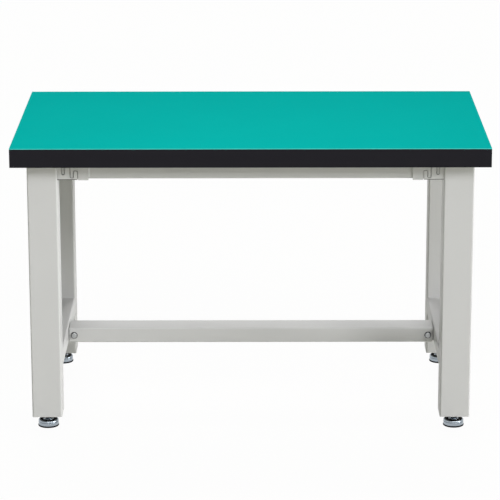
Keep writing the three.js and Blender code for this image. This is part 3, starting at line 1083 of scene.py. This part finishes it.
@dataclass
class LevellingFeet:
    """Levelling feet: rubber pad, plated base, threaded stem, washer and lock nut.

    Attributes:
        thread_radius: Outer radius of the stem in millimetres.
        thread_depth: Depth of the thread in millimetres.
        pitch: Rise of one turn in millimetres.
        swivel_radius: Radius of the stem's swivel end in millimetres.
        nut_flats: Width of the lock nut across its flats in millimetres.
        nut_bore: Radius of the lock nut's hole in millimetres.
    """

    thread_radius: float = 7.95
    thread_depth: float = 1.2
    pitch: float = 2.0
    swivel_radius: float = 11.0
    nut_flats: float = 24.0
    nut_bore: float = 8.1

    def build(self) -> None:
        """Model one foot on the Z axis, and copy it to the four legs."""
        patterns = {
            "foot_pad": (self.pad(), RUBBER, "foot_base"),
            "foot_base": (self.base(), BLUE_ZINC, "foot_base"),
            "foot_stem": (self.stem(), BLUE_ZINC, "foot_stem"),
            # The washer and lock nut take near-black steel: painted shade for the dark zone under the leg.
            "foot_washer": (self.washer(), SHADE_BLACK_STEEL, "foot_washer"),
            "foot_lock_nut": (self.nut(), SHADE_BLACK_STEEL, "foot_lock_nut"),
        }
        ring = self.dish_ring()
        for corner in Corner:
            low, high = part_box(f"foot_base_{corner.label}")
            move = Matrix.Translation(((low[0] + high[0]) / 2, (low[1] + high[1]) / 2, 0.0))
            # A black ring in each dish: painted shade under the leg.
            hand_over(copy_piece(ring, f"dish_ring.{corner.label}", move), RUBBER, f"foot_base_{corner.label}")
            for node, (pattern, finish, body) in patterns.items():
                twin = copy_piece(pattern, f"{node}.{corner.label}", move)
                hand_over(twin, finish, f"{body}_{corner.label}", f"{node}_{corner.label}")
            node = f"foot_plate_{corner.label}"
            hand_over(refined_copy(node, f"foot_plate.{corner.label}", SMALL_PLATE_EDGE), POWDER_COAT, FRAME_BODY, node)
        bpy.data.objects.remove(ring)
        for pattern, _, _ in patterns.values():
            bpy.data.objects.remove(pattern)

    def pad(self) -> Piece:
        """Return the rubber pad, with its lip round the base and its plug into it."""
        pad = turned(
            "pad_pattern",
            [
                (25.0, 0.0), (26.1, 0.3), (26.7, 1.2), (26.7, 4.4), (26.1, 4.4), (26.1, 3.5), (23.0, 3.5), (23.0, 6.5),
            ],
        )
        ease_edges(pad, 0.3 * MM)
        return pad

    def base(self) -> Piece:
        """Return the plated base: a groove round its side, a rolled rim, a dished top and a hub."""
        base = turned(
            "base_pattern",
            [
                (23.3, 6.5), (23.3, 3.5), (25.6, 3.5), (26.0, 3.9), (26.0, 11.5), (24.5, 12.25), (24.5, 13.75),
                (26.0, 14.5), (26.0, 15.0), (25.77, 16.15), (25.12, 17.12), (24.15, 17.77), (23.0, 18.0),
                (20.0, 16.9), (16.0, 15.6), (13.0, 15.5), (13.0, 18.4), (12.4, 19.0), (8.3, 19.0), (8.3, 13.6),
                (11.3, 13.6), (11.3, 9.0),
            ],
        )
        ease_edges(base, 0.2 * MM)
        return base

    def dish_ring(self) -> Piece:
        """Return the black ring that lies in the dish round the hub: painted shade for the dark dish under the leg."""
        ring = turned(
            "shade_ring_pattern",
            [
                (13.4, 15.65), (16.0, 15.72), (20.0, 17.02), (22.6, 17.98), (22.4, 18.3), (19.8, 17.8), (16.0, 16.9),
                (13.4, 16.8), (13.4, 15.65),
            ],
            ring=True,
        )
        ease_edges(ring, 0.15 * MM)
        return ring

    def stem(self) -> Piece:
        """Return the stem: a swivel end that sits in the base, and a thread with a real helix."""
        rod = thread("stem_pattern", self.thread_radius, self.thread_depth, self.pitch, 12.5, 82.0)
        end = turned("stem_end", [(self.swivel_radius, 9.3), (self.swivel_radius, 13.3), (6.0, 13.3)])
        tip = turned("stem_tip", [(6.7, 81.99), (6.3, 83.0)])
        for piece in (end, tip):
            take_up(rod)
            piece.select_set(True)
            bpy.ops.object.join()
        smooth(rod, math.radians(28.0))
        return rod

    def washer(self) -> Piece:
        """Return the flat washer, with its punched edges rounded."""
        washer = turned(
            "washer_pattern", [(8.3, 30.7), (19.0, 30.7), (19.0, 33.7), (8.3, 33.7), (8.3, 30.7)], ring=True
        )
        ease_edges(washer, 0.4 * MM)
        return washer

    def nut(self) -> Piece:
        """Return the thin lock nut."""
        return hexagon("nut_pattern", self.nut_flats, 22.4, 30.4, self.nut_bore)


@dataclass(frozen=True)
class Lamp:
    """A far soft lamp.

    Attributes:
        name: Name of the lamp.
        source: Direction from the table to the lamp.
        level: Share of full white that a white face turned to the lamp shows.
        softness: Angle in degrees that the lamp fills, seen from the table.
    """

    name: str
    source: tuple[float, float, float]
    level: float
    softness: float = 26.0


LAMPS = (
    Lamp("front_lamp", (0.0, -0.8, 0.6), 0.26),
    Lamp("front_right_lamp", (0.5, -0.65, 0.58), 0.38),
    Lamp("right_lamp", (0.93, -0.34, 0.16), 0.66, 24.0),
    Lamp("rear_lamp", (0.0, 0.6, 0.8), 0.58),
)


@dataclass
class Studio:
    """White room with soft light, and the camera.

    Attributes:
        floor_size: Width of the floor in metres.
        floor_drop: Distance in metres of the floor below the feet, which clear it when they are screwed right out.
        floor_white: Share of plain white that the camera sees on the floor.
        paper: Colour of the floor's paper, whose warm light fills the shade.
        ambient: Strength of the even light from all round.
        lamp_distance: Distance in metres at which the far lamps are drawn.
        box_place: Place in metres of the soft box over the top.
        box_size: Width of the soft box in metres.
        box_level: Share of full white that a white face under the soft box shows.
        eye: Place of the camera in metres.
        pitch: Angle of the camera below level in radians.
        yaw: Turn of the camera in radians.
        roll: Tilt of the camera in radians.
        focal: Focal length in pixels of the picture.
        sensor: Width of the camera's sensor in millimetres.
        sight: Farthest distance in metres that the camera sees.
    """

    floor_size: float = 40.0
    floor_drop: float = 20.5 * MM
    floor_white: float = 0.97
    paper: str = "#d2d3c6"
    ambient: float = 0.05
    lamp_distance: float = 6.0
    box_place: tuple[float, float, float] = (0.0, -0.6, 2.0)
    box_size: float = 0.9
    box_level: float = 0.4
    eye: tuple[float, float, float] = (0.0116, -6.6175, 2.1914)
    pitch: float = 0.2652
    yaw: float = -0.0021
    roll: float = -0.0017
    focal: float = 2589.6
    sensor: float = 36.0
    sight: float = 100.0

    def build(self) -> None:
        """Make the floor, the world, the lamps and the camera."""
        bpy.context.scene.view_settings.view_transform = "Standard"
        self.lay_floor()
        self.light_world()
        for lamp in LAMPS:
            self.hang_lamp(lamp)
        self.hang_soft_box()
        self.add_camera()

    def lay_floor(self) -> None:
        """Lay a pale floor that looks white and keeps the table's shadow."""
        deselect_all()
        bpy.ops.mesh.primitive_plane_add(size=self.floor_size, location=(0.0, 0.0, -self.floor_drop))
        floor = name_piece("floor")
        settle(floor)
        material = bpy.data.materials.new("white_paper_floor")
        material.use_nodes = True
        tree = material.node_tree
        tree.nodes.clear()
        paper = add_node(tree, "ShaderNodeBsdfDiffuse", {"Color": linear(self.paper)})
        glow = add_node(tree, "ShaderNodeEmission", {"Color": linear("#ffffff"), "Strength": 1.0})
        seen = self.seen(tree)
        share = add_node(tree, "ShaderNodeMath", {0: seen, 1: self.floor_white}, operation="MULTIPLY")
        mix = add_node(
            tree, "ShaderNodeMixShader", {0: share.outputs[0], 1: paper.outputs[0], 2: glow.outputs[0]}
        )
        add_node(tree, "ShaderNodeOutputMaterial", {"Surface": mix.outputs[0]})
        floor.data.materials.append(material)

    def seen(self, tree: Tree) -> Socket:
        """Return one for rays that see the background straight, mirrored or through glass, and else zero."""
        path = add_node(tree, "ShaderNodeLightPath")
        seen = path.outputs["Is Camera Ray"]
        for ray in ("Is Glossy Ray", "Is Transmission Ray"):
            inputs = {0: seen, 1: path.outputs[ray]}
            seen = add_node(tree, "ShaderNodeMath", inputs, operation="MAXIMUM").outputs[0]
        return seen

    def light_world(self) -> None:
        """Light the room evenly, with a background that looks white."""
        world = bpy.data.worlds.new("white_room")
        bpy.context.scene.world = world
        world.use_nodes = True
        tree = world.node_tree
        tree.nodes.clear()
        air = add_node(tree, "ShaderNodeBackground", {"Color": linear("#ffffff"), "Strength": self.ambient})
        white = add_node(tree, "ShaderNodeBackground", {"Color": linear("#ffffff"), "Strength": 1.0})
        mix = add_node(
            tree, "ShaderNodeMixShader", {0: self.seen(tree), 1: air.outputs[0], 2: white.outputs[0]}
        )
        add_node(tree, "ShaderNodeOutputWorld", {"Surface": mix.outputs[0]})

    def hang_lamp(self, lamp: Lamp) -> None:
        """Hang a far soft lamp that shines at the table.

        Args:
            lamp: Lamp to hang.
        """
        light = bpy.data.lights.new(lamp.name, "SUN")
        light.energy = math.pi * lamp.level
        light.angle = math.radians(lamp.softness)
        holder = bpy.data.objects.new(lamp.name, light)
        source = Vector(lamp.source)
        holder.location = source.normalized() * self.lamp_distance
        holder.rotation_euler = (-source).to_track_quat("-Z", "Y").to_euler()
        bpy.context.collection.objects.link(holder)

    def hang_soft_box(self) -> None:
        """Hang a soft box over the front of the top, which falls off towards the corners."""
        light = bpy.data.lights.new("soft_box", "AREA")
        light.shape = "SQUARE"
        light.size = self.box_size
        drop = self.box_place[2] - CAD_BOX[1][2]
        light.energy = math.pi ** 2 * drop ** 2 * self.box_level
        holder = bpy.data.objects.new("soft_box", light)
        holder.location = self.box_place
        bpy.context.collection.objects.link(holder)

    def add_camera(self) -> None:
        """Set up the camera at the picture's viewing angle."""
        camera = bpy.data.cameras.new("camera")
        camera.sensor_width = self.sensor
        camera.lens = self.sensor * self.focal / PICTURE_WIDTH
        camera.clip_end = self.sight
        holder = bpy.data.objects.new("camera", camera)
        turn = Matrix.Rotation(-self.yaw, 4, "Z") @ Matrix.Rotation(math.pi / 2 - self.pitch, 4, "X")
        turn = turn @ Matrix.Rotation(self.roll, 4, "Z")
        holder.rotation_euler = turn.to_euler()
        holder.location = self.eye
        bpy.context.collection.objects.link(holder)
        bpy.context.scene.camera = holder


def main() -> None:
    """Build the studio and the table's sub-assemblies in order."""
    logging.basicConfig(level=logging.INFO, format="%(name)s: %(message)s")
    Studio().build()
    worktop = Worktop()
    worktop.build()
    worktop.dress()
    SideFrames().build()
    Beams().build()
    Stretcher().build()
    TopScrews().build()
    LevellingFeet().build()


if __name__ == "__main__":
    main()
